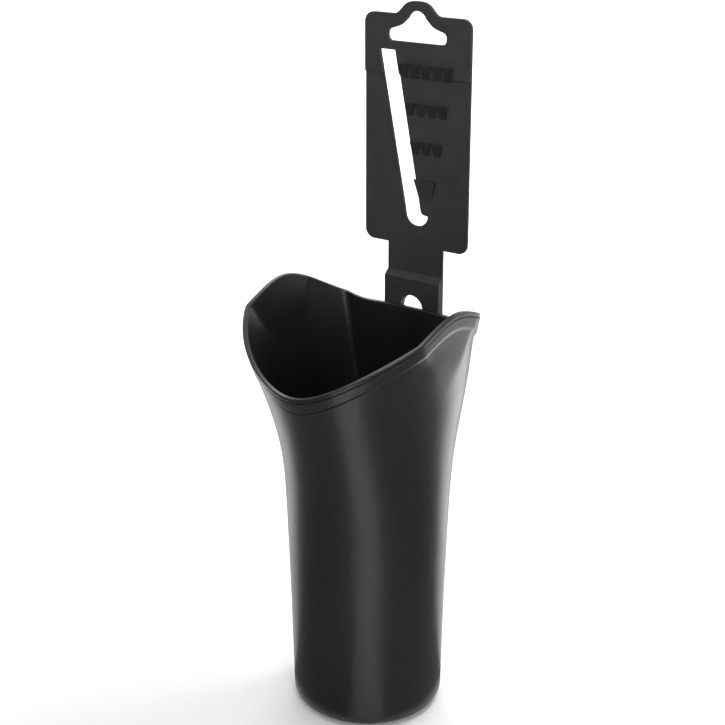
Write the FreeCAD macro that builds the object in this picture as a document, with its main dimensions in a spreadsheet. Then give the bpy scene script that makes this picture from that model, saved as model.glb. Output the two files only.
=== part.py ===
"""Wall-hung toilet brush holder: a flared outer shell, a lift-out liner and a flat hanger.

Millimetres. The origin is the centre of the round foot, on the floor. +Z is up, +Y points
to the wall behind the holder, and +X is to the right for someone facing the wall.
"""
import FreeCAD, Part
import math
import os

import Sketcher

doc = FreeCAD.newDocument("brush_holder")
V = FreeCAD.Vector

# ---------------------------------------------------------------- driving dimensions
SIZES = [
    # cup, outside
    ("base_radius", 38.8, "radius of the round foot"),
    ("cup_height", 219.5, "top of the ears above the floor"),
    ("foot_round", 6.5, "rounding under the foot"),
    ("back_setback", 2.65, "flat back, in from the foot's radius"),
    # walls and fits
    ("collar_step", 0.5, "body set in below the collar"),
    ("shell_wall", 1.0, "outer shell wall"),
    ("shell_floor", 2.0, "outer shell floor"),
    ("liner_gap", 0.25, "clearance between shell and liner"),
    ("liner_wall", 0.95, "liner wall"),
    ("liner_floor", 1.2, "liner floor"),
    ("lip_height", 2.5, "height of the liner's lip over the shell's edge"),
    ("lip_gap", 0.35, "parting line under the lip"),
    ("collar_height", 5.4, "collar band under the parting line"),
    # rim
    ("rim_centre", 8, "centre of the rim's directions, in front of the axis"),
    # flat facets on the sides, below the ears
    ("facet_foot", 40, "lowest point of the facet, below the ear tops"),
    ("facet_set", 9.3, "facet at its lowest point, out from the foot's radius"),
    ("facet_lean", 0.132, "outward lean of the facet, run per rise"),
    ("facet_start", 65, "where the trimming starts, below the ear tops"),
    # hanger
    ("lug_gap", 0.25, "clearance between the cup's flat back and the lug"),
    ("hole_drop", 17.5, "peg hole below the ear tops"),
    ("hole_radius", 6.9, "peg hole"),
    ("lug_width", 32.8, "width of the lug and the stem"),
    ("lug_thick", 4.1, "thickness of the lug"),
    ("lug_rise", 15.1, "top of the thick lug, above the peg hole"),
    ("tail_drop", 52, "lower end of the lug's tail, below the peg hole"),
    ("tail_neck", 12, "where the tail's rebate starts, below the peg hole"),
    ("rebate_width", 2.4, "rebate along the tail's sides"),
    ("rebate_depth", 1.9, "depth of that rebate, from the wall side"),
    ("tag_thick", 1.1, "thickness of the tag and the stem"),
    ("tag_rise", 32, "bottom of the tag, above the peg hole"),
    ("tag_width", 61, "width of the tag"),
    ("tag_height", 112.7, "height of the tag's shoulders above its bottom"),
    ("tag_round", 5, "corners of the tag"),
    ("head_step", 0.9, "thicker head of the tag, proud of its front"),
    ("head_height", 28.7, "height of that head below the tag's shoulders"),
    ("hump_half", 11.5, "half width of the hump at the shoulders"),
    ("hump_top_half", 5.5, "half width of the hump at its top"),
    ("hump_rise", 6.4, "hump above the shoulders"),
    ("hump_round", 8.5, "top corners of the hump"),
    ("hump_fillet", 5.5, "foot of the hump"),
    # display hole in the tag
    ("display_drop", 12.9, "bottom of the display hole, below the shoulders"),
    ("display_half", 17, "half width of the display hole"),
    ("display_slot", 5.2, "height of its side lobes"),
    ("display_shoulder_half", 9.4, "half width of its shoulders"),
    ("display_shoulder_rise", 7.6, "shoulders, above the bottom of the hole"),
    ("display_neck_half", 5.3, "half width of its neck"),
    ("display_neck_rise", 11.4, "neck, above the bottom of the hole"),
    ("display_top_half", 3.4, "half width at its top, before rounding"),
    ("display_rise", 14.8, "height of its middle"),
    ("display_lobe_round", 2.5, "ends of the side lobes"),
    ("display_shoulder_round", 8, "rounding of the shoulders"),
    ("display_neck_round", 2.5, "rounding of the neck"),
    ("display_round", 5.4, "top corners of its middle"),
    # hooked slot in the tag
    ("slot_top_drop", 17.2, "top of the hooked slot, below the shoulders"),
    ("slot_top_left", 22, "its top left corner, left of the axis"),
    ("slot_top_right", 12.5, "its top right corner, left of the axis"),
    ("slot_bend_rise", 20, "bend of the slot, above the tag's bottom"),
    ("slot_bend_right", 2.6, "right side of the bend, right of the axis"),
    ("slot_bend_left", 6.2, "left side of the bend, left of the axis"),
    ("hook_nose_right", 3.3, "rounded nose over the hook, right of the axis"),
    ("hook_nose_rise", 16.4, "that nose, above the tag's bottom"),
    ("hook_tip_right", 7.4, "tip of the hook, right of the axis"),
    ("hook_tip_rise", 16, "tip of the hook, above the tag's bottom"),
    ("hook_foot_rise", 10.3, "lowest edge of the hook, above the tag's bottom"),
    ("hook_foot_right_inset", 1.3, "right end of that edge, in from the hook's tip"),
    ("hook_foot_left_inset", 1, "left end of that edge, in from the bend"),
    ("slot_bend_drop", 2, "left side of the bend, below its right side"),
    ("hook_round", 6.2, "round bottom of the hook"),
    ("hook_nose_round", 2.5, "rounding of the nose"),
    ("hook_tip_round", 0.7, "rounding of the hook's tip"),
    # ramp teeth on the tag
    ("tooth_pitch", 6.4, "from tooth to tooth"),
    ("tooth_top", 5.4, "width of a tooth at its ledge"),
    ("tooth_foot", 3.8, "width of a tooth at its foot"),
    ("tooth_height", 6.2, "height of a tooth"),
    ("tooth_proud", 1.3, "ledge of a tooth, proud of the tag"),
    ("row_pitch", 18.5, "from row to row"),
    ("row_top_drop", 23.4, "first row's ledges, below the shoulders"),
    ("row_right", 18.3, "last tooth of the first row, right of the axis"),
    ("row_shift", 3, "each lower row ends this much further left"),
    ("key_top", 12.4, "width of the large tooth at its ledge"),
    ("key_foot", 7, "width of the large tooth at its foot"),
    ("key_height", 10.2, "height of the large tooth"),
    ("key_right", 5.6, "middle of the large tooth, right of the axis"),
    # channel on the shell's back, which holds the tail
    ("channel_gap", 0.15, "clearance between tail and channel"),
    ("rail_wall", 2.2, "wall of the channel's rails"),
    ("rail_shoulder", 2, "top of the rails, below the start of the rebate"),
    ("catch_width", 8, "catch on the tail's front"),
    ("catch_height", 4, "height of the catch"),
    ("catch_proud", 0.8, "catch proud of the lug's front"),
    ("catch_rise", 10, "catch above the tail's lower end"),
    ("catch_nose", 0.1, "catch at its thin end, proud of the lug's front"),
    # blocks that cut or join other pieces
    ("tool_reach", 60, "cutting blocks, past the foot's radius"),
    ("tool_depth", 160, "cutting blocks, from the back to the front"),
    ("tool_spare", 10, "cutting blocks, above the ears"),
    ("overlap", 1, "blocks, past the faces that they cut or join"),
]

# name, height from the floor or depth below the ear tops, wider than the foot,
# further forward than it is wide, further back than it is wide
LOW_SECTIONS = [
    ("foot", 0, 0, 0, 0),
    ("ankle", 30, 0.6, 0, 0),
    ("shin", 60, 1.2, 0, 0),
]
HIGH_SECTIONS = [
    ("calf", 134.5, 1.95, 0, 0.1),
    ("hip", 109.5, 2.7, 0.2, 0.5),
    ("waist", 79.5, 3.5, 3.7, 5.3),
    ("shoulder", 54.5, 6.4, 8.8, 9.2),
    ("throat", 29.5, 11.2, 14.2, 7),
    ("mouth", -5.5, 22, 12.6, -5),
]
# name, direction from the front in degrees, depth below the ear tops
RIM_POINTS = [
    ("brim", 0, 35.2),
    ("bow", 23, 28.9),
    ("flank", 50, 16.2),
    ("brow", 79, 3.9),
    ("ear", 99, 0),
    ("nape", 124, 8.4),
    ("corner", 144, 16.3),
    ("flat", 158, 16.3),
    ("backrest", 180, 16.1),
]
TEETH_PER_ROW = (5, 4, 3)
# where the surface that cuts the rim starts and ends, as shares of the foot's radius
RIM_CUT_FROM = 0.125
RIM_CUT_TO = 2.5

rows = list(SIZES)
for sections, level in ((LOW_SECTIONS, "above the floor"), (HIGH_SECTIONS, "below the ear tops")):
    for name, rise, side, front, back in sections:
        rows.append((name + "_level", rise, name + " section, " + level))
        rows.append((name + "_side", side, name + " section, wider than the foot"))
        rows.append((name + "_front", front, name + " section, extra reach to the front"))
        rows.append((name + "_back", back, name + " section, extra reach to the back"))
for name, direction, drop in RIM_POINTS:
    rows.append((name + "_direction", direction, name + " of the rim, degrees from the front"))
    rows.append((name + "_drop", drop, name + " of the rim, below the ear tops"))

sheet = doc.addObject("Spreadsheet::Sheet", "Sizes")
for line, (name, value, meaning) in enumerate(rows, 1):
    sheet.set("A%d" % line, name)
    sheet.set("B%d" % line, repr(value))
    sheet.set("C%d" % line, meaning)
    sheet.setAlias("B%d" % line, name)
doc.recompute()

SIZE_NAMES = [name for name, value, meaning in rows]


def bound(text):
    """The expression with every size name turned into a reference to the sheet."""
    words = text.replace("(", " ( ").replace(")", " ) ").replace(",", " , ").split()
    return " ".join("Sizes." + word if word in SIZE_NAMES else word for word in words)


def number(text):
    """What the expression comes to now."""
    return float(sheet.evalExpression(bound(text)))


def bind(thing, prop, text):
    thing.setExpression(prop, bound(text))


# places that several pieces share
WALL = "base_radius - back_setback + lug_gap + lug_thick"
LUG_FRONT = WALL + " - lug_thick"
BACK = "base_radius - back_setback"
HOLE = "cup_height - hole_drop"
TAG_FOOT = HOLE + " + tag_rise"
SHOULDER = TAG_FOOT + " + tag_height"
TAIL_END = HOLE + " - tail_drop"
REBATE_TOP = HOLE + " - tail_neck"
CAVITY = "collar_step + shell_wall"
LINER_OUT = CAVITY + " + liner_gap"
LINER_IN = LINER_OUT + " + liner_wall"
LINER_FOOT = "shell_floor + liner_gap"
CAVITY_ROUND = "foot_round - shell_wall"


# ---------------------------------------------------------------- building blocks
def body(name):
    return doc.addObject("PartDesign::Body", name)


def plane_of(owner, role):
    return next(f for f in owner.Origin.OriginFeatures if f.Role == role)


def outline(owner, name, role, corners, offset="0"):
    """A closed polygon sketch; every corner is held by its two coordinates."""
    sketch = owner.newObject("Sketcher::SketchObject", name)
    sketch.AttachmentSupport = [(plane_of(owner, role), "")]
    sketch.MapMode = "FlatFace"
    bind(sketch, "AttachmentOffset.Base.z", offset)
    points = [V(number(across), number(up), 0) for across, up in corners]
    count = len(points)
    for i in range(count):
        sketch.addGeometry(Part.LineSegment(points[i], points[(i + 1) % count]), False)
    for i in range(count):
        sketch.addConstraint(Sketcher.Constraint("Coincident", i, 2, (i + 1) % count, 1))
    for i, (across, up) in enumerate(corners):
        for kind, text, value in (("DistanceX", across, points[i].x), ("DistanceY", up, points[i].y)):
            index = sketch.addConstraint(Sketcher.Constraint(kind, -1, 1, i, 1, value))
            bind(sketch, "Constraints[%d]" % index, text)
    return sketch


def pad(owner, name, sketch, length, symmetric=False):
    feature = owner.newObject("PartDesign::Pad", name)
    feature.Profile = sketch
    if symmetric:
        feature.SideType = "Symmetric"
    bind(feature, "Length", length)
    doc.recompute()
    return feature


def pocket(owner, name, sketch, length):
    feature = owner.newObject("PartDesign::Pocket", name)
    feature.Profile = sketch
    feature.SideType = "Symmetric"
    bind(feature, "Length", length)
    before = owner.Shape.Volume
    doc.recompute()
    if owner.Shape.Volume >= before - 1e-6:
        raise RuntimeError(name + " removes nothing")
    return feature


def straight_edges(shape, axis, corners):
    """Names of the straight edges along an axis that pass through the given corners."""
    found = []
    for index, edge in enumerate(shape.Edges):
        if len(edge.Vertexes) != 2:
            continue
        start, end = edge.Vertexes[0].Point, edge.Vertexes[1].Point
        along = abs((end - start).normalize().dot(axis))
        for corner in corners:
            near = (start - corner).cross(axis).Length
            if along > 0.999 and near < 0.01:
                found.append("Edge%d" % (index + 1))
    if len(found) < len(corners):
        raise RuntimeError("an edge to round is missing")
    return found


def round_corners(owner, name, axis, corners, radius):
    base = owner.Tip
    feature = owner.newObject("PartDesign::Fillet", name)
    feature.Base = (base, straight_edges(base.Shape, axis, corners))
    bind(feature, "Radius", radius)
    doc.recompute()
    return feature


def cut(name, base, tool):
    feature = doc.addObject("Part::Cut", name)
    feature.Base = base
    feature.Tool = tool
    return feature


def common(name, *pieces):
    feature = doc.addObject("Part::MultiCommon", name)
    feature.Shapes = list(pieces)
    return feature


def fuse(name, *pieces):
    feature = doc.addObject("Part::MultiFuse", name)
    feature.Shapes = list(pieces)
    feature.Refine = True
    return feature


def box(name, low, high):
    """A block between two corners, each given as three expressions."""
    feature = doc.addObject("Part::Box", name)
    for side, letter, start, end in zip(("Length", "Width", "Height"), "xyz", low, high):
        bind(feature, side, "( " + end + " ) - ( " + start + " )")
        bind(feature, "Placement.Base." + letter, start)
    return feature


# ---------------------------------------------------------------- cup surfaces
def flare(name, inset, floor, rounding):
    """The cup's flared solid, every section pulled in by the inset, with a rounded foot."""
    sections = []
    for group, level in ((LOW_SECTIONS, "%s_level"), (HIGH_SECTIONS, "cup_height - %s_level")):
        for section in group:
            part = section[0]
            ring = doc.addObject("Part::Ellipse", name + "_" + part)
            width = "base_radius + %s_side - ( %s )" % (part, inset)
            bind(ring, "MinorRadius", width)
            bind(ring, "MajorRadius", width + " + ( %s_front + %s_back ) / 2" % (part, part))
            ring.Placement.Rotation = FreeCAD.Rotation(V(0, 0, 1), 90)
            bind(ring, "Placement.Base.y", "( %s_back - %s_front ) / 2" % (part, part))
            bind(ring, "Placement.Base.z", floor if part == "foot" else level % part)
            sections.append(ring)
    loft = doc.addObject("Part::Loft", name + "_loft")
    loft.Sections = sections
    loft.Solid = True
    doc.recompute()
    feature = doc.addObject("Part::Fillet", name)
    feature.Base = loft
    size = number(rounding)
    rings = [i + 1 for i, edge in enumerate(loft.Shape.Edges) if edge.BoundBox.ZMax < number(floor) + 0.01]
    feature.Edges = [(ring, size, size) for ring in rings]
    doc.recompute()
    return feature


def trim(name, inset, floor):
    """The space between the two facets, the flat back and a floor."""
    owner = body(name)
    reach = "base_radius + tool_reach"
    ceiling = "cup_height + tool_spare"
    start = "cup_height - facet_start"
    facet = "base_radius + facet_set - ( " + inset + " ) + facet_lean * ( %s )"
    low = facet % "facet_foot - facet_start"
    high = facet % "facet_foot + tool_spare"
    corners = [(reach, floor), (reach, start), (low, start), (high, ceiling)]
    corners += [("-1 * ( " + across + " )", up) for across, up in reversed(corners)]
    sketch = outline(owner, name + "_front", "XZ_Plane", corners,
                     "-1 * ( " + BACK + " - ( " + inset + " ) )")
    pad(owner, name + "_depth", sketch, "tool_depth")
    return owner


def rim_line(radius):
    """A closed curve round the rim's centre, as high as the rim is in each direction."""
    points = []
    turns = []
    for side, names in ((1, RIM_POINTS), (-1, RIM_POINTS[-2:0:-1])):
        for name, direction, drop in names:
            turn = side * math.radians(number(name + "_direction")) % (2 * math.pi)
            turns.append(turn)
            points.append(V(radius * math.sin(turn), -number("rim_centre") - radius * math.cos(turn),
                            number("cup_height - " + name + "_drop")))
    curve = Part.BSplineCurve()
    curve.interpolate(Points=points, PeriodicFlag=True, Parameters=turns + [2 * math.pi])
    return curve.toShape()


def above_rim(name, drop):
    """Everything over the rim, lowered by the drop: level across the wall everywhere."""
    feature = doc.addObject("Part::Feature", name)
    reach = number("base_radius")
    top = Part.makeRuledSurface(rim_line(reach * RIM_CUT_FROM), rim_line(reach * RIM_CUT_TO))
    feature.Shape = top.extrude(V(0, 0, number("cup_height")))
    bind(feature, "Placement.Base.z", "-1 * ( " + drop + " )")
    return feature


below_lip = "lip_height + lip_gap"
above_top = above_rim("above_top", "0")
above_lip = above_rim("above_lip", "lip_height")
above_edge = above_rim("above_edge", below_lip)
above_collar = above_rim("above_collar", below_lip + " + collar_height")

# ---------------------------------------------------------------- outer shell
skin = flare("skin", "0", "0", "foot_round")
body_skin = flare("body_skin", "collar_step", "0", "foot_round")
body_trim = trim("body_trim", "collar_step", "-1")
collar_trim = trim("collar_trim", "0", "1")
lower_body = cut("lower_body", common("body_block", body_skin, body_trim), above_edge)
collar_block = cut("collar_block", common("collar_skin", skin, collar_trim), above_edge)
collar_band = common("collar_band", collar_block, above_collar)
cavity = common("cavity", flare("cavity_flare", CAVITY, "shell_floor", CAVITY_ROUND),
                trim("cavity_trim", CAVITY, "1"))

lug_half = "lug_width / 2"
rail_out = lug_half + " + channel_gap + rail_wall"
rail_top = REBATE_TOP + " - rail_shoulder"
rail_foot = TAIL_END + " - channel_gap - rail_wall"
rails = box("rails", ("-1 * ( " + rail_out + " )", BACK + " - collar_step - shell_wall / 2", rail_foot),
            (rail_out, WALL + " - channel_gap", rail_top))
seat_half = lug_half + " + channel_gap"
seat = box("tail_seat", ("-1 * ( " + seat_half + " )", BACK, TAIL_END + " - channel_gap"),
           (seat_half, WALL + " - rebate_depth + channel_gap", "cup_height"))
mouth_half = "lug_width / 2 - rebate_width + channel_gap"
seat_mouth = box("tail_mouth", ("-1 * ( " + mouth_half + " )", BACK, TAIL_END + " - channel_gap"),
                 (mouth_half, WALL + " + overlap", "cup_height"))
channel = cut("channel", cut("channel_seat", rails, seat), seat_mouth)
catch_low = TAIL_END + " + catch_rise"
catch_half = "catch_width / 2 + channel_gap"
inside_back = BACK + " - shell_wall - overlap"
catch_window = box("catch_window",
                   ("-1 * ( " + catch_half + " )", inside_back, catch_low + " - channel_gap"),
                   (catch_half, BACK + " + overlap", catch_low + " + catch_height + channel_gap"))
hollow_shell = cut("hollow_shell", fuse("solid_shell", lower_body, collar_band, channel), cavity)
outer_shell = cut("outer_shell", hollow_shell, catch_window)

# ---------------------------------------------------------------- inner liner
liner_flare = flare("liner_flare", LINER_OUT, LINER_FOOT, CAVITY_ROUND + " - liner_gap")
liner_block = common("liner_block", liner_flare, trim("liner_trim", LINER_OUT, "1"))
liner_skin = cut("liner_skin", liner_block, above_top)
lip_block = cut("lip_block", common("lip_skin", skin, trim("lip_trim", "0", "1")), above_top)
lip = common("lip", lip_block, above_lip)
liner_room = common("liner_room", flare("room_flare", LINER_IN, LINER_FOOT + " + liner_floor",
                                        CAVITY_ROUND + " - liner_gap - liner_wall"),
                    trim("room_trim", LINER_IN, "1"))
inner_liner = cut("inner_liner", fuse("solid_liner", liner_skin, lip), liner_room)

# ---------------------------------------------------------------- hanger
plate = body("hanger_plate")
tag_front = WALL + " - tag_thick"
side_corners = [(WALL, TAIL_END),
                (WALL, TAG_FOOT + " + overlap"),
                (tag_front, TAG_FOOT + " + overlap"),
                (tag_front, HOLE + " + lug_rise + lug_thick - tag_thick"),
                (LUG_FRONT, HOLE + " + lug_rise"),
                (LUG_FRONT, TAIL_END)]
stem_outline = outline(plate, "stem_side", "YZ_Plane", side_corners)
pad(plate, "stem", stem_outline, "lug_width", symmetric=True)

to_wall = "-1 * ( " + WALL + " )"
half_tag = "tag_width / 2"


def mirrored(corners):
    """The right half of an outline, from the bottom up, and its mirror image."""
    return corners + [("-1 * ( " + across + " )", up) for across, up in reversed(corners)]


hump_top = SHOULDER + " + hump_rise"
head_foot = SHOULDER + " - head_height"
hump = [("hump_half", SHOULDER), ("hump_top_half", hump_top)]
tag_right = [(half_tag, TAG_FOOT), (half_tag, SHOULDER)] + hump
head_right = [(half_tag, head_foot), (half_tag, SHOULDER)] + hump
tag_outline = outline(plate, "tag_front", "XZ_Plane", mirrored(tag_right), to_wall)
pad(plate, "tag", tag_outline, "tag_thick")
head_outline = outline(plate, "head_front", "XZ_Plane", mirrored(head_right), to_wall)
pad(plate, "head", head_outline, "tag_thick + head_step")


def both_sides(across, up):
    return [V(side * number(across), 0, number(up)) for side in (-1, 1)]


Y_AXIS = V(0, 1, 0)
tag_corner_points = both_sides(half_tag, TAG_FOOT) + both_sides(half_tag, SHOULDER)
round_corners(plate, "tag_corners", Y_AXIS, tag_corner_points, "tag_round")
round_corners(plate, "hump_corners", Y_AXIS, both_sides("hump_top_half", hump_top), "hump_round")
round_corners(plate, "hump_feet", Y_AXIS, both_sides("hump_half", SHOULDER), "hump_fillet")

display_foot = SHOULDER + " - display_drop"
lobe_top = display_foot + " + display_slot"
shoulder_rise = display_foot + " + display_shoulder_rise"
neck_rise = display_foot + " + display_neck_rise"
display_top = display_foot + " + display_rise"
display_right = [("display_half", display_foot),
                 ("display_half", lobe_top),
                 ("display_shoulder_half", shoulder_rise),
                 ("display_neck_half", neck_rise),
                 ("display_top_half", display_top)]
through = "lug_thick * 4"
display_outline = outline(plate, "display_front", "XZ_Plane", mirrored(display_right), to_wall)
pocket(plate, "display_hole", display_outline, through)
lobe_corners = both_sides("display_half", display_foot) + both_sides("display_half", lobe_top)
round_corners(plate, "lobe_ends", Y_AXIS, lobe_corners, "display_lobe_round")
shoulder_corners = both_sides("display_shoulder_half", shoulder_rise)
round_corners(plate, "display_shoulders", Y_AXIS, shoulder_corners, "display_shoulder_round")
neck_corners = both_sides("display_neck_half", neck_rise)
round_corners(plate, "display_neck", Y_AXIS, neck_corners, "display_neck_round")
crown_corners = both_sides("display_top_half", display_top)
round_corners(plate, "display_crown", Y_AXIS, crown_corners, "display_round")

hook_foot = TAG_FOOT + " + hook_foot_rise"
slot = [("-1 * slot_top_left", SHOULDER + " - slot_top_drop"),
        ("-1 * slot_top_right", SHOULDER + " - slot_top_drop"),
        ("slot_bend_right", TAG_FOOT + " + slot_bend_rise"),
        ("hook_nose_right", TAG_FOOT + " + hook_nose_rise"),
        ("hook_tip_right", TAG_FOOT + " + hook_tip_rise"),
        ("hook_tip_right - hook_foot_right_inset", hook_foot),
        ("-1 * slot_bend_left + hook_foot_left_inset", hook_foot),
        ("-1 * slot_bend_left", TAG_FOOT + " + slot_bend_rise - slot_bend_drop")]
slot_outline = outline(plate, "hook_front", "XZ_Plane", slot, to_wall)
pocket(plate, "hook_slot", slot_outline, through)
slot_points = [V(number(across), 0, number(up)) for across, up in slot]
round_corners(plate, "hook_bottom", Y_AXIS, slot_points[5:7], "hook_round")
round_corners(plate, "hook_nose", Y_AXIS, slot_points[3:4], "hook_nose_round")
round_corners(plate, "hook_tip", Y_AXIS, slot_points[4:5], "hook_tip_round")

hole_sketch = plate.newObject("Sketcher::SketchObject", "peg_hole_front")
hole_sketch.AttachmentSupport = [(plane_of(plate, "XZ_Plane"), "")]
hole_sketch.MapMode = "FlatFace"
bind(hole_sketch, "AttachmentOffset.Base.z", to_wall)
hole_circle = Part.Circle(V(0, number(HOLE), 0), V(0, 0, 1), number("hole_radius"))
hole_sketch.addGeometry(hole_circle, False)
hole_sketch.addConstraint(Sketcher.Constraint("PointOnObject", 0, 3, -2))
hole_level = Sketcher.Constraint("DistanceY", -1, 1, 0, 3, number(HOLE))
bind(hole_sketch, "Constraints[%d]" % hole_sketch.addConstraint(hole_level), HOLE)
hole_size = Sketcher.Constraint("Radius", 0, number("hole_radius"))
bind(hole_sketch, "Constraints[%d]" % hole_sketch.addConstraint(hole_size), "hole_radius")
pocket(plate, "peg_hole", hole_sketch, through)

rebates = []
for side, low, high in (("left", "-1 * lug_width", "-1 * ( lug_width / 2 - rebate_width )"),
                        ("right", "lug_width / 2 - rebate_width", "lug_width")):
    rebates.append(box("rebate_" + side, (low, WALL + " - rebate_depth", TAIL_END + " - overlap"),
                       (high, WALL + " + overlap", REBATE_TOP)))
rebated_plate = cut("rebated_plate", plate, fuse("rebates", *rebates))


def tooth(name, across, top, front, widths, height):
    """A ramp: a ledge on top that slopes back flush with the tag at its foot."""
    wedge = doc.addObject("Part::Wedge", name)
    top_width, foot_width = widths
    values = {"Xmin": "-1 * " + top_width + " / 2", "Xmax": top_width + " / 2",
              "X2min": "-1 * " + foot_width + " / 2", "X2max": foot_width + " / 2",
              "Ymin": "0", "Ymax": height,
              "Zmin": "-1 * tooth_proud", "Zmax": "tag_thick / 2",
              "Z2min": "0", "Z2max": "tag_thick / 2"}
    for prop, text in values.items():
        bind(wedge, prop, text)
    wedge.Placement.Rotation = FreeCAD.Rotation(V(1, 0, 0), -90)
    bind(wedge, "Placement.Base.x", across)
    bind(wedge, "Placement.Base.y", front)
    bind(wedge, "Placement.Base.z", top)
    return wedge


teeth = []
for line, count in enumerate(TEETH_PER_ROW):
    front = tag_front + " - head_step" if line == 0 else tag_front
    for place in range(count):
        across = "row_right - row_shift * %d - tooth_pitch * %d" % (line, place)
        top = SHOULDER + " - row_top_drop - row_pitch * %d" % line
        teeth.append(tooth("tooth_%d_%d" % (line + 1, place + 1), across, top, front,
                           ("tooth_top", "tooth_foot"), "tooth_height"))
key_top_level = SHOULDER + " - row_top_drop - row_pitch * %d" % len(TEETH_PER_ROW)
teeth.append(tooth("large_tooth", "key_right", key_top_level, tag_front,
                   ("key_top", "key_foot"), "key_height"))

catch = doc.addObject("Part::Wedge", "catch")
catch_values = {"Xmin": "-1 * catch_width / 2", "Xmax": "catch_width / 2",
                "X2min": "-1 * catch_width / 2", "X2max": "catch_width / 2",
                "Ymin": "0", "Ymax": "catch_height",
                "Zmin": "-1 * catch_proud", "Zmax": "overlap",
                "Z2min": "-1 * catch_nose", "Z2max": "overlap"}
for prop, text in catch_values.items():
    bind(catch, prop, text)
catch.Placement.Rotation = FreeCAD.Rotation(V(1, 0, 0), -90)
bind(catch, "Placement.Base.y", LUG_FRONT)
bind(catch, "Placement.Base.z", catch_low + " + catch_height")
hanger = fuse("hanger", rebated_plate, catch, *teeth)

# ---------------------------------------------------------------- check and write
doc.recompute()
for thing in doc.Objects:
    if "Invalid" in thing.State or "Error" in thing.State:
        raise RuntimeError("%s failed: %s" % (thing.Name, thing.State))

os.makedirs("parts", exist_ok=True)
for piece in (outer_shell, inner_liner, hanger):
    shape = piece.Shape
    if shape.isNull() or not shape.isValid() or len(shape.Solids) != 1:
        raise RuntimeError("%s is not one sound solid" % piece.Label)
    shape.exportStep("parts/%s.step" % piece.Label)
    print("%s: %.1f mm3, %s" % (piece.Label, shape.Volume, shape.BoundBox))
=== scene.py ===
import math

import bmesh
import bpy
import numpy as np
from mathutils import Matrix, Vector


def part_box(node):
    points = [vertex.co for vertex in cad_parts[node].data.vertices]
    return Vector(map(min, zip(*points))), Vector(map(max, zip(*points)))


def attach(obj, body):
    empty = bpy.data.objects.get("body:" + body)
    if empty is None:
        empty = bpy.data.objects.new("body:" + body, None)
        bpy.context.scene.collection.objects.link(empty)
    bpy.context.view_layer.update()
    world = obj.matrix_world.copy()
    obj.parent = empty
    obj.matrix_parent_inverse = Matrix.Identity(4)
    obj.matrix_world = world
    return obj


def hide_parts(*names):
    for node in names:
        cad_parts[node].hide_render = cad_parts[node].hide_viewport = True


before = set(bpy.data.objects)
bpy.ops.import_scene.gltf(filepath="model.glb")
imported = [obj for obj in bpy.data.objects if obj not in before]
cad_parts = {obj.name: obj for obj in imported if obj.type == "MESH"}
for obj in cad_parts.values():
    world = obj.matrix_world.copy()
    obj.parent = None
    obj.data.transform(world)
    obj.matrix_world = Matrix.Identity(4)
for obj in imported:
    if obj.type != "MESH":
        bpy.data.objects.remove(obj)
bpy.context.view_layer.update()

MM = 0.001

# ---------------------------------------------------------------- sizes, in millimetres
EAR_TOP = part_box("inner_liner")[1][2] / MM
# height, half width, reach to the front, reach to the back
SECTIONS = (
    (0, 38.8, 38.8, 38.8),
    (30, 39.4, 39.4, 39.4),
    (60, 40, 40, 40),
    (EAR_TOP - 134.5, 40.75, 40.75, 40.85),
    (EAR_TOP - 109.5, 41.5, 41.7, 42),
    (EAR_TOP - 79.5, 42.3, 46, 47.6),
    (EAR_TOP - 54.5, 45.2, 54, 54.4),
    (EAR_TOP - 29.5, 50, 64.2, 57),
    (EAR_TOP + 5.5, 60.8, 73.4, 55.8),
)
# direction from the front in degrees, depth below the ears
RIM = ((0, 35.2), (23, 28.9), (50, 16.2), (79, 3.9), (99, 0),
       (124, 8.4), (144, 16.3), (158, 16.3), (180, 16.1))
RIM_CENTRE = 8
BACK_PLANE = 36.15
# each facet: how far out it is at its lowest point, that point's height, and its outward lean
FACET_OUT, FACET_LEVEL, FACET_LEAN = 48.1, EAR_TOP - 40, 0.132
# the facet's plane is looked for from a little below its tip
FACET_REACH = 30
FACET_CREASE, BACK_CREASE = 0.14, 0.5
# a flat side only counts in directions that turn towards it by at least this much
FLAT_SIDE_LIMIT = 0.2

LIP = 2.5
PARTING = 0.35
COLLAR = 5.4
STEP = 0.5
SHELL_WALL = 1.0
SHELL_FLOOR = 2.0
LINER_GAP = 0.25
LINER_WALL = 0.95
LINER_FLOOR = 1.2
FOOT_ROUND = 6.5

COLUMNS = 300


# ---------------------------------------------------------------- the cup's surface
def smooth_curve(places, values):
    """A smooth curve through the values, for any number or array of places."""
    x, y = np.array(places, float), np.array(values, float)
    gap = np.diff(x)
    slope = np.diff(y) / gap
    count = len(x)
    system, right = np.eye(count), np.zeros(count)
    for i in range(1, count - 1):
        system[i, i - 1:i + 2] = gap[i - 1], 2 * (gap[i - 1] + gap[i]), gap[i]
        right[i] = 6 * (slope[i] - slope[i - 1])
    bend = np.linalg.solve(system, right)

    def at(place):
        i = min(max(int(np.searchsorted(x, place)) - 1, 0), count - 2)
        left, over = place - x[i], x[i + 1] - place
        return ((bend[i] * over ** 3 + bend[i + 1] * left ** 3) / (6 * gap[i])
                + (y[i] / gap[i] - bend[i] * gap[i] / 6) * over
                + (y[i + 1] / gap[i] - bend[i + 1] * gap[i] / 6) * left)
    return at


heights = [s[0] for s in SECTIONS]
half_width = smooth_curve(heights, [s[1] for s in SECTIONS])
to_front = smooth_curve(heights, [s[2] for s in SECTIONS])
to_back = smooth_curve(heights, [s[3] for s in SECTIONS])

mirrored_rim = [(side * direction, drop) for direction, drop in RIM for side in (1, -1)]
around = sorted({(direction + turn, drop) for direction, drop in mirrored_rim for turn in (-360, 0, 360)})
rim_drop = smooth_curve([direction for direction, drop in around], [drop for direction, drop in around])


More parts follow.
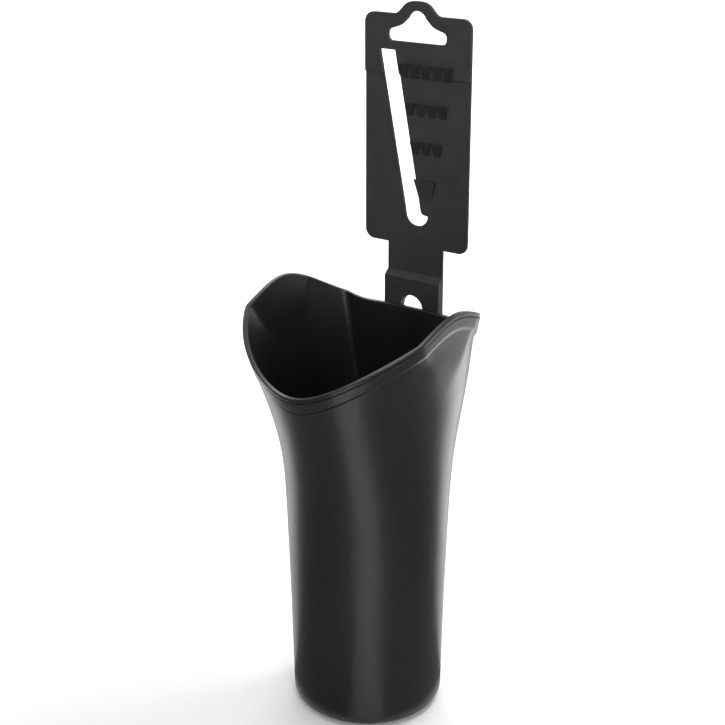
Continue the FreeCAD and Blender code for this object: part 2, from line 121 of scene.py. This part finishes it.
def softest(one, other, soft):
    """The lesser of two lengths, with the crease between them rounded off."""
    least = min(one, other)
    return least - soft * math.log1p(math.exp(-abs(one - other) / soft))


def reach(turn, height, inset):
    """How far the cup's wall is from the rim's centre, in a direction, at a height, less the inset."""
    across, ahead = math.sin(turn), -math.cos(turn)
    wide = half_width(height) - inset
    long = (to_front(height) + to_back(height)) / 2 - inset
    centre = (to_back(height) - to_front(height)) / 2
    start = -RIM_CENTRE - centre
    a = (across / wide) ** 2 + (ahead / long) ** 2
    b = start * ahead / long ** 2
    c = (start / long) ** 2 - 1
    out = (-b + math.sqrt(b * b - a * c)) / a
    facet = FACET_OUT - inset + FACET_LEAN * (height - FACET_LEVEL)
    if abs(across) > FLAT_SIDE_LIMIT and height > FACET_LEVEL - FACET_REACH:
        out = softest(out, facet / abs(across), FACET_CREASE)
    if ahead > FLAT_SIDE_LIMIT:
        out = softest(out, (BACK_PLANE - inset + RIM_CENTRE) / ahead, BACK_CREASE)
    return out


def arc(steps, start, end):
    return [math.radians(start + (end - start) * i / steps) for i in range(steps + 1)]


def cup_body(name, rows):
    """One closed skin: a ring that is drawn through every row, from pole to pole.
    A row gives the height, the inset and the share of the reach, for a direction and its rim height."""
    bm = bmesh.new()
    bmesh.ops.create_circle(bm, segments=COLUMNS, radius=1)
    turn_of = bm.verts.layers.float.new("turn")
    for v in bm.verts:
        v[turn_of] = math.atan2(v.co.x, -v.co.y)
    edges = list(bm.edges)
    tops = {}
    first = list(bm.verts)
    ring = first
    for number, row in enumerate(rows):
        if number:
            made = bmesh.ops.extrude_edge_only(bm, edges=edges)["geom"]
            ring = [g for g in made if isinstance(g, bmesh.types.BMVert)]
            edges = [g for g in made if isinstance(g, bmesh.types.BMEdge)]
        for v in ring:
            turn = v[turn_of]
            key = round(turn, 5)
            if key not in tops:
                tops[key] = EAR_TOP - rim_drop(math.degrees(turn))
            height, inset, share = row(turn, tops[key])
            out = reach(turn, height, inset) * share
            v.co = (out * math.sin(turn), -RIM_CENTRE - out * math.cos(turn), height)
    for pole in (first, ring):
        middle = Vector((0, -RIM_CENTRE, pole[0].co.z))
        bmesh.ops.pointmerge(bm, verts=pole, merge_co=middle)
    bm.verts.layers.float.remove(turn_of)
    return finish_piece(name, bm)


def finish_piece(name, bm):
    """Writes a bmesh in millimetres as an object in metres."""
    bmesh.ops.scale(bm, vec=(MM, MM, MM), verts=bm.verts)
    bmesh.ops.recalc_face_normals(bm, faces=bm.faces)
    mesh = bpy.data.meshes.new(name)
    bm.to_mesh(mesh)
    bm.free()
    for polygon in mesh.polygons:
        polygon.use_smooth = True
    piece = bpy.data.objects.new(name, mesh)
    bpy.context.collection.objects.link(piece)
    return piece


def flat_row(height, inset, share=1.0):
    return lambda turn, top: (height, inset, share)


def under_rim(drop, inset):
    """A row that follows the rim, a set distance under it."""
    return lambda turn, top: (top - drop, inset, 1.0)


def between(low, drop, part, inset):
    """A row part of the way from a level height up to a line under the rim."""
    return lambda turn, top: (low + (top - drop - low) * part, inset, 1.0)


def ease(x):
    x = min(max(x, 0), 1)
    return x * x * (3 - 2 * x)


# rows under the foot of the collar, close together where the ledge and its groove are
LEDGE_ROWS = (16, 14, 12, 10, 8.4, 7, 5.8, 4.8, 3.9, 3.1, 2.4, 1.8, 1.3, 0.9, 0.62, 0.42, 0.28, 0.15,
              0.02, -0.1, -0.22, -0.36, -0.6, -0.95, -1.4, -2)
GROOVE_DEPTH, GROOVE_UNDER, GROOVE_WIDTH = 0.6, 0.15, 0.3


def ledge_row(under):
    """A row round the foot of the collar. The ledge is crisp in front, fades out on the flanks
    and comes back as a soft fillet over each facet."""
    def row(turn, top):
        side = abs(math.degrees(turn))
        crisp = 1 - ease((side - 38) / 24)
        over_facet = ease((side - 62) / 16) * (1 - ease((side - 128) / 22))
        width = 0.3 * crisp + 2.6 * (1 - crisp)
        depth = STEP - 0.25 * ease((side - 40) / 16) * (1 - over_facet) + 0.5 * over_facet
        down = under - 0.3 * (1 - crisp)
        inset = depth * ease(down / width + 0.5)
        fade = 1 - ease((under - 4) / 14)
        inset = STEP + (inset - STEP) * fade if under > 0 else inset
        groove = GROOVE_DEPTH * crisp * math.exp(-((under - GROOVE_UNDER) / GROOVE_WIDTH) ** 2)
        return top - LIP - PARTING - COLLAR - under, inset + groove, 1.0
    return row


def shell_rows():
    edge = LIP + PARTING
    ledge = edge + COLLAR
    cavity = STEP + SHELL_WALL
    rows = [flat_row(0, FOOT_ROUND + STEP, share) for share in (0.02, 0.3, 0.6, 0.85, 1)]
    for a in arc(7, 12, 90):
        rows.append(flat_row(FOOT_ROUND * (1 - math.cos(a)), STEP + FOOT_ROUND * (1 - math.sin(a))))
    stations = 58
    rows += [between(FOOT_ROUND, ledge + 18, (i + 1) / stations, STEP) for i in range(stations)]
    rows += [ledge_row(under) for under in LEDGE_ROWS]
    rows += [under_rim(edge + d, 0) for d in (2.7, 2, 1.3, 0.7, 0.35)]
    lip_seat = 0.25
    rows += [under_rim(edge + lip_seat * (1 - math.sin(a)), lip_seat * (1 - math.cos(a)))
             for a in arc(3, 15, 90)]
    rows += [under_rim(edge, inset) for inset in (0.6, 1.1)]
    edge_round = 0.2
    for a in arc(3, 0, 90):
        rows.append(under_rim(edge + edge_round * (1 - math.cos(a)),
                              cavity - edge_round * (1 - math.sin(a))))
    floor_round = FOOT_ROUND - SHELL_WALL
    rows += [between(SHELL_FLOOR + floor_round, edge + 0.5, 1 - i / 40, cavity) for i in range(40)]
    for a in arc(6, 90, 0):
        rows.append(flat_row(SHELL_FLOOR + floor_round * (1 - math.cos(a)),
                             cavity + floor_round * (1 - math.sin(a))))
    rows += [flat_row(SHELL_FLOOR, cavity + floor_round, share) for share in (0.8, 0.5, 0.2, 0.02)]
    return rows


def liner_rows():
    outside = STEP + SHELL_WALL + LINER_GAP
    inside = outside + LINER_WALL
    foot = SHELL_FLOOR + LINER_GAP
    outer_round = FOOT_ROUND - SHELL_WALL - LINER_GAP
    inner_round = outer_round - LINER_WALL
    rows = [flat_row(foot, outside + outer_round, share) for share in (0.02, 0.3, 0.6, 0.85, 1)]
    for a in arc(6, 12, 90):
        rows.append(flat_row(foot + outer_round * (1 - math.cos(a)),
                             outside + outer_round * (1 - math.sin(a))))
    rows += [between(foot + outer_round, LIP + 0.3, (i + 1) / 40, outside) for i in range(40)]
    rows += [under_rim(LIP, outside), under_rim(LIP, 1), under_rim(LIP, 0.5)]
    rows += [under_rim(LIP - 0.25 * (1 - math.cos(a)), 0.25 * (1 - math.sin(a))) for a in arc(3, 0, 90)]
    rows += [under_rim(d, 0) for d in (1.9, 1.5, 1.1)]
    rows += [under_rim(0.75 * (1 - math.sin(a)), 0.75 * (1 - math.cos(a))) for a in arc(6, 0, 90)]
    rows += [under_rim(0, 1.2), under_rim(0, 1.7)]
    inner_edge = 0.55
    rows += [under_rim(inner_edge * (1 - math.cos(a)), inside - inner_edge * (1 - math.sin(a)))
             for a in arc(5, 0, 90)]
    rows += [under_rim(d, inside) for d in (0.9, 1.4, 2.1)]
    floor = foot + LINER_FLOOR
    rows += [between(floor + inner_round, 3, 1 - i / 76, inside) for i in range(76)]
    for a in arc(6, 90, 0):
        rows.append(flat_row(floor + inner_round * (1 - math.cos(a)),
                             inside + inner_round * (1 - math.sin(a))))
    rows += [flat_row(floor, inside + inner_round, share) for share in (0.8, 0.5, 0.2, 0.02)]
    return rows


cup_shell = cup_body("cup_shell", shell_rows())
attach(cup_shell, "holder")
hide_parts("outer_shell")

cup_liner = cup_body("cup_liner", liner_rows())
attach(cup_liner, "liner")
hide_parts("inner_liner")


# ---------------------------------------------------------------- the channel on the shell's back
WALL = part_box("hanger")[1][1] / MM
TAIL_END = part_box("hanger")[0][2] / MM
HALF_LUG = 16.4
GAP = 0.15
RAIL = 2.2
REBATE_WIDTH, REBATE_DEPTH = 2.4, 1.9
SILL_LAP = 0.1
CHANNEL_EDGE = 0.22
TAIL_LENGTH, TAIL_NECK, RAIL_SHOULDER = 52, 12, 2
RAIL_TOP = TAIL_END + TAIL_LENGTH - TAIL_NECK - RAIL_SHOULDER


def prism(bm, outline, along, length):
    """A closed block: an outline, given by its corners, pushed along a direction."""
    corners = [bm.verts.new(corner) for corner in outline]
    face = bm.faces.new(corners)
    made = bmesh.ops.extrude_face_region(bm, geom=[face])["geom"]
    moved = [g for g in made if isinstance(g, bmesh.types.BMVert)]
    bmesh.ops.translate(bm, vec=Vector(along) * length, verts=moved)
    return corners + moved


def channel():
    bm = bmesh.new()
    back = BACK_PLANE - SHELL_WALL / 2
    out, seat, mouth = HALF_LUG + GAP + RAIL, HALF_LUG + GAP, HALF_LUG - REBATE_WIDTH + GAP
    lip = WALL - REBATE_DEPTH + GAP
    outer = WALL - GAP
    low = TAIL_END - GAP - RAIL
    for side in (-1, 1):
        section = [(side * x, y, low) for x, y in
                   ((seat, back), (out, back), (out, outer), (mouth, outer), (mouth, lip), (seat, lip))]
        prism(bm, section, (0, 0, 1), RAIL_TOP - low)
    half_sill = seat + SILL_LAP
    sill = [(x, y, low) for x, y in
            ((-half_sill, back), (half_sill, back), (half_sill, outer), (-half_sill, outer))]
    prism(bm, sill, (0, 0, 1), RAIL)
    bmesh.ops.recalc_face_normals(bm, faces=bm.faces)
    bmesh.ops.bevel(bm, geom=list(bm.edges), offset=CHANNEL_EDGE, segments=2, affect="EDGES",
                    profile=0.5, material=-1)
    return finish_piece("hanger_channel", bm)


hanger_channel = channel()
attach(hanger_channel, "holder")


# ---------------------------------------------------------------- finishes
def finish_nodes(name):
    material = bpy.data.materials.new(name)
    material.use_nodes = True
    nodes, links = material.node_tree.nodes, material.node_tree.links
    shader = nodes["Principled BSDF"]
    place = nodes.new("ShaderNodeTexCoord").outputs["Object"]
    return material, nodes, links, shader, place


def speckle(nodes, links, place, scale, detail, roughness=0.5):
    """A cloudy pattern; the scale is about how many spots fit in a metre."""
    noise = nodes.new("ShaderNodeTexNoise")
    noise.inputs["Scale"].default_value = scale
    noise.inputs["Detail"].default_value = detail
    noise.inputs["Roughness"].default_value = roughness
    links.new(place, noise.inputs["Vector"])
    return noise.outputs["Fac"]


def ramp(nodes, links, value, low, high, first, second):
    """Spreads the part of a pattern between two levels over two numbers."""
    spread = nodes.new("ShaderNodeMapRange")
    for socket, number in zip(("From Min", "From Max", "To Min", "To Max"), (low, high, first, second)):
        spread.inputs[socket].default_value = number
    links.new(value, spread.inputs["Value"])
    return spread.outputs["Result"]


def tint(nodes, links, value, dark, light):
    """Mixes two colours by a pattern; the first may be the result of another mix."""
    mix = nodes.new("ShaderNodeMix")
    mix.data_type = "RGBA"
    if isinstance(dark, bpy.types.NodeSocket):
        links.new(dark, mix.inputs["A"])
    else:
        mix.inputs["A"].default_value = (*dark, 1)
    mix.inputs["B"].default_value = (*light, 1)
    links.new(value, mix.inputs["Factor"])
    return mix.outputs["Result"]


def bump(nodes, links, height, distance, strength, under=None):
    """Small relief from a pattern, on top of another relief if one is given."""
    node = nodes.new("ShaderNodeBump")
    node.inputs["Strength"].default_value = strength
    node.inputs["Distance"].default_value = distance
    links.new(height, node.inputs["Height"])
    if under:
        links.new(under, node.inputs["Normal"])
    return node.outputs["Normal"]


def satin_moulding(name, dark, light, glossy, dull):
    """Black injection-moulded plastic: satin, with slow flow marks, a fine grain and dust-like scuffs."""
    material, nodes, links, shader, place = finish_nodes(name)
    stretched = nodes.new("ShaderNodeMapping")
    stretched.inputs["Scale"].default_value = (1, 1, 0.22)
    links.new(place, stretched.inputs["Vector"])
    flow = speckle(nodes, links, stretched.outputs["Vector"], 38, 3)
    grain = speckle(nodes, links, place, 2600, 2)
    peel = speckle(nodes, links, place, 420, 3)
    scuff = speckle(nodes, links, place, 900, 5, 0.7)
    colour = tint(nodes, links, ramp(nodes, links, flow, 0.3, 0.7, 0, 1), dark, light)
    links.new(colour, shader.inputs["Base Color"])
    base = ramp(nodes, links, flow, 0.3, 0.7, glossy, dull)
    marks = ramp(nodes, links, scuff, 0.62, 0.8, 0, 0.07)
    total = nodes.new("ShaderNodeMath")
    total.operation = "ADD"
    links.new(base, total.inputs[0])
    links.new(marks, total.inputs[1])
    links.new(total.outputs["Value"], shader.inputs["Roughness"])
    soft = bump(nodes, links, peel, 0.00003, 0.25)
    links.new(bump(nodes, links, grain, 0.00001, 0.3, soft), shader.inputs["Normal"])
    return material


# painted shade: the dark colour given to faces that point downward
DOWNWARD_PAINTED_SHADE = (0.006, 0.006, 0.0062)
TEXTURE_GLOSS = 0.22


def moulding_texture_and_shade(name, dark, light, rough):
    """Black plastic with a fine spark-eroded texture, plus painted shade: faces that slope down, such as
    the ramps of the teeth, have their colour darkened by how far they face downward."""
    material, nodes, links, shader, place = finish_nodes(name)
    cloud = speckle(nodes, links, place, 60, 4)
    pits = speckle(nodes, links, place, 1900, 3, 0.65)
    peel = speckle(nodes, links, place, 500, 2)
    facing = nodes.new("ShaderNodeSeparateXYZ")
    links.new(nodes["Texture Coordinate"].outputs["Normal"], facing.inputs["Vector"])
    # painted shade: faces whose normal points downward are mixed towards the dark colour
    painted_shade_mask = ramp(nodes, links, facing.outputs["Z"], -0.18, -0.1, 1, 0)
    textured = tint(nodes, links, ramp(nodes, links, cloud, 0.3, 0.7, 0, 1), dark, light)
    links.new(tint(nodes, links, painted_shade_mask, textured, DOWNWARD_PAINTED_SHADE), shader.inputs["Base Color"])
    links.new(ramp(nodes, links, pits, 0.3, 0.7, rough - 0.06, rough + 0.06), shader.inputs["Roughness"])
    soft = bump(nodes, links, peel, 0.00002, 0.3)
    links.new(bump(nodes, links, pits, 0.00003, 0.5, soft), shader.inputs["Normal"])
    shader.inputs["Specular IOR Level"].default_value = TEXTURE_GLOSS
    return material


shell_finish = satin_moulding("shell_finish", (0.006, 0.006, 0.0064), (0.009, 0.009, 0.0094), 0.3, 0.36)
liner_finish = satin_moulding("liner_finish", (0.004, 0.004, 0.0043), (0.006, 0.006, 0.0063), 0.3, 0.38)
# the hanger's material holds its texture and painted shade on its downward faces
hanger_texture_and_shade = moulding_texture_and_shade("hanger_texture_and_shade", (0.015, 0.015, 0.0154), (0.021, 0.021, 0.0214), 0.5)

cup_shell.data.materials.append(shell_finish)
hanger_channel.data.materials.append(shell_finish)
cup_liner.data.materials.append(liner_finish)

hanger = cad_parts["hanger"]
for slot in hanger.material_slots:
    slot.material = hanger_texture_and_shade
weld = hanger.modifiers.new("weld", "WELD")
weld.merge_threshold = 0.00002
soft_edges = hanger.modifiers.new("soft_edges", "BEVEL")
soft_edges.width = 0.00022
soft_edges.segments = 2
soft_edges.limit_method = "ANGLE"
soft_edges.angle_limit = math.radians(28)
soft_edges.harden_normals = True

# ---------------------------------------------------------------- studio
bm = bmesh.new()
bmesh.ops.create_grid(bm, x_segments=2, y_segments=2, size=12)
mesh = bpy.data.meshes.new("floor")
bm.to_mesh(mesh)
bm.free()
floor = bpy.data.objects.new("floor", mesh)
bpy.context.collection.objects.link(floor)
paper, nodes, links, shader, place = finish_nodes("pale_paper")
fibres = speckle(nodes, links, place, 30, 3)
links.new(tint(nodes, links, fibres, (0.86, 0.86, 0.86), (0.9, 0.9, 0.9)), shader.inputs["Base Color"])
shader.inputs["Roughness"].default_value = 0.9
mesh.materials.append(paper)


# grey cards laid round the foot give the black plastic something dark to mirror;
# they show only in its gloss, so the paper under them stays pale and unshaded
AZIMUTH, ELEVATION = math.radians(36.66), math.radians(19.98)
CARD_LEVEL = 0.0005
CARD_FROM, CARD_TO = 0.045, 4
SLOT_END = 0.36
STEP_DEGREES = 6


def card_sector(bm, first, last, near, far):
    """A flat piece of card between two directions, in degrees from the viewing side, and two distances."""
    start = Matrix.Rotation(AZIMUTH + math.radians(first), 3, "Z") @ Vector((0, -1, 0))
    ends = [bm.verts.new(start * distance + Vector((0, 0, CARD_LEVEL))) for distance in (near, far)]
    side = bm.edges.new(ends)
    steps = round((last - first) / STEP_DEGREES) + 1
    bmesh.ops.spin(bm, geom=ends + [side], cent=(0, 0, 0), axis=(0, 0, 1), dvec=(0, 0, 0),
                   angle=math.radians(last - first), steps=steps, use_duplicate=False)


bm = bmesh.new()
# directions of the cards' edges, in degrees from the viewing side
FRONT_EDGE, SLOT_EDGE, BACK_EDGE = 112, 15, 146
card_sector(bm, SLOT_EDGE, FRONT_EDGE, CARD_FROM, CARD_TO)
card_sector(bm, -FRONT_EDGE, -SLOT_EDGE, CARD_FROM, CARD_TO)
card_sector(bm, -SLOT_EDGE, SLOT_EDGE, SLOT_END, CARD_TO)
card_sector(bm, BACK_EDGE, 360 - BACK_EDGE, CARD_FROM, CARD_TO)
card_mesh = bpy.data.meshes.new("cards")
bm.to_mesh(card_mesh)
bm.free()
cards = bpy.data.objects.new("cards", card_mesh)
bpy.context.collection.objects.link(cards)
cards.visible_camera = False
cards.visible_shadow = False
cards.visible_diffuse = False
grey_card, nodes, links, shader, place = finish_nodes("grey_card")
shader.inputs["Base Color"].default_value = (0.16, 0.16, 0.16, 1)
shader.inputs["Roughness"].default_value = 0.9
card_mesh.materials.append(grey_card)

bpy.context.scene.view_settings.view_transform = "Standard"
world = bpy.data.worlds.new("studio")
bpy.context.scene.world = world
world.use_nodes = True
nodes, links = world.node_tree.nodes, world.node_tree.links
BEHIND = (-0.6, 0.8, 0)
towards = nodes.new("ShaderNodeTexCoord").outputs["Generated"]
along = nodes.new("ShaderNodeVectorMath")
along.operation = "DOT_PRODUCT"
along.inputs[1].default_value = BEHIND
links.new(towards, along.inputs[0])
glow = ramp(nodes, links, along.outputs["Value"], -0.3, 0.6, 0.4, 1.15)
links.new(glow, nodes["Background"].inputs["Strength"])
nodes["Background"].inputs["Color"].default_value = (1, 1, 1, 1)


def lamp(name, place, target, wide, tall, spread, power):
    """A softbox; a narrow spread is a grid in front of it, which keeps its pool of light small."""
    light = bpy.data.lights.new(name, "AREA")
    light.shape = "RECTANGLE"
    light.size, light.size_y = wide, tall
    light.energy = power
    light.spread = math.radians(spread)
    box = bpy.data.objects.new(name, light)
    bpy.context.collection.objects.link(box)
    direction = Vector(place) - Vector(target)
    box.matrix_world = Matrix.Translation(place) @ direction.to_track_quat("Z", "Y").to_matrix().to_4x4()
    box.visible_camera = False


lamp("left_paper_light", (-0.62, 0.02, 0.8), (-0.5, 0, 0), 0.5, 0.14, 50, 2.0)
lamp("right_paper_light", (0.18, 0.6, 0.8), (0.14, 0.48, 0), 0.14, 0.5, 50, 2.0)
lamp("rear_paper_light", (-0.9, 1.5, 1.6), (-0.8, 1.4, 0), 1.6, 1.6, 80, 10)
lamp("front_paper_light", (0.14, -0.2, 0.7), (0.14, -0.2, 0), 0.1, 0.16, 35, 0.22)
lamp("far_paper_light", (-2.0, 3.0, 2.6), (-1.9, 2.7, 0), 3.2, 3.2, 130, 60)
lamp("tag_light", (0.5, -0.8, 0.95), (0, 0.04, 0.34), 0.2, 0.2, 25, 0.3)
lamp("inside_light", (1.0, -0.75, 0.5), (0, 0.03, 0.2), 0.22, 0.5, 60, 0.8)
lamp("left_box", (-1.0, 0.05, 0.35), (0, 0, 0.2), 0.3, 0.8, 150, 0.6)
lamp("right_box", (0.3, 1.0, 0.35), (0, 0, 0.2), 0.3, 0.8, 150, 0.6)

# ---------------------------------------------------------------- camera
DISTANCE = 0.7328
level = math.cos(ELEVATION)
away = Vector((math.sin(AZIMUTH) * level, -math.cos(AZIMUTH) * level, math.sin(ELEVATION)))
aim = Vector((-0.00213, -0.00159, 0.1837))
lens = bpy.data.cameras.new("camera")
lens.sensor_width = 36
lens.lens = 74.36
lens.clip_start = 0.01
camera = bpy.data.objects.new("camera", lens)
bpy.context.collection.objects.link(camera)
turned = away.to_track_quat("Z", "Y").to_matrix().to_4x4()
camera.matrix_world = Matrix.Translation(aim + away * DISTANCE) @ turned
bpy.context.scene.camera = camera
